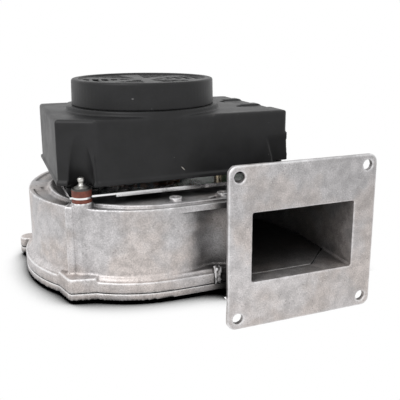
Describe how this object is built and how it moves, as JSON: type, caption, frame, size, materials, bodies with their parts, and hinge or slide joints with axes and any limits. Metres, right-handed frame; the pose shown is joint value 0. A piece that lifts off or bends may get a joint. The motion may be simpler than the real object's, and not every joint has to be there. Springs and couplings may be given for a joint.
{
  "type": "centrifugal combustion air blower",
  "caption": "Cast aluminium spiral blower with a square discharge flange, a rubber-mounted direct-current motor and a black moulded motor cover with a round cooling-air cap.",
  "frame": {"origin": "on the rotor axis, in the bottom face of the inlet cover, inside the inlet bore", "axes": "+Z along the rotor axis from the inlet to the motor, -Y the way the discharge blows, +X towards the discharge duct"},
  "size_m": [0.279, 0.2365, 0.1949],
  "materials": {
    "cast_aluminium": "as cast",
    "sheet_aluminium": "satin",
    "zinc_sheet": "bright zinc",
    "screw_steel": "zinc plated",
    "dark_steel": "black oxide",
    "shaft_steel": "ground",
    "lamination": "varnished",
    "copper": "enamelled wire",
    "brass": "turned",
    "ferrite": "matt",
    "black_plastic": "fine texture",
    "white_plastic": "moulded",
    "board": "solder resist",
    "capacitor": "sleeved",
    "black_rubber": "matt",
    "red_rubber": "matt"
  },
  "bodies": {
    "casing": {"volute_housing": "cast_aluminium", "inlet_cover": "cast_aluminium", "housing_seal": "black_rubber", "housing_screws": "screw_steel", "inlet_nozzle": "zinc_sheet", "nozzle_screws": "screw_steel", "shaft_seal": "black_rubber", "bearing_lower": "shaft_steel", "bearing_upper": "shaft_steel", "bearing_tube": "sheet_aluminium", "stator_core": "lamination", "stator_windings": "copper", "motor_bracket": "zinc_sheet", "motor_screws": "screw_steel", "rubber_mounts": "red_rubber", "mount_sleeves": "screw_steel", "mount_washers": "dark_steel", "mount_screws": "screw_steel", "circuit_board": "board", "board_pillars": "brass", "filter_capacitors": "capacitor", "line_choke": "copper", "power_switches": "black_plastic", "heat_sink": "sheet_aluminium", "power_socket": "white_plastic", "signal_socket": "white_plastic", "motor_cover": "black_plastic", "air_cap": "black_plastic", "cover_screws": "screw_steel"},
    "rotor": {"rotor_shaft": "shaft_steel", "rotor_can": "zinc_sheet", "rotor_magnets": "ferrite", "cooling_wheel": "black_plastic", "impeller_shroud": "sheet_aluminium", "impeller_blades": "sheet_aluminium", "impeller_backplate": "sheet_aluminium", "impeller_hub": "screw_steel", "impeller_rivets": "sheet_aluminium", "impeller_nut": "screw_steel"}
  },
  "joints": [
    {"name": "rotor_spin", "type": "hinge", "parent": "casing", "child": "rotor", "pos_m": [0, 0, 0.08], "axis": [0, 0, 1], "continuous": true}
  ]
}
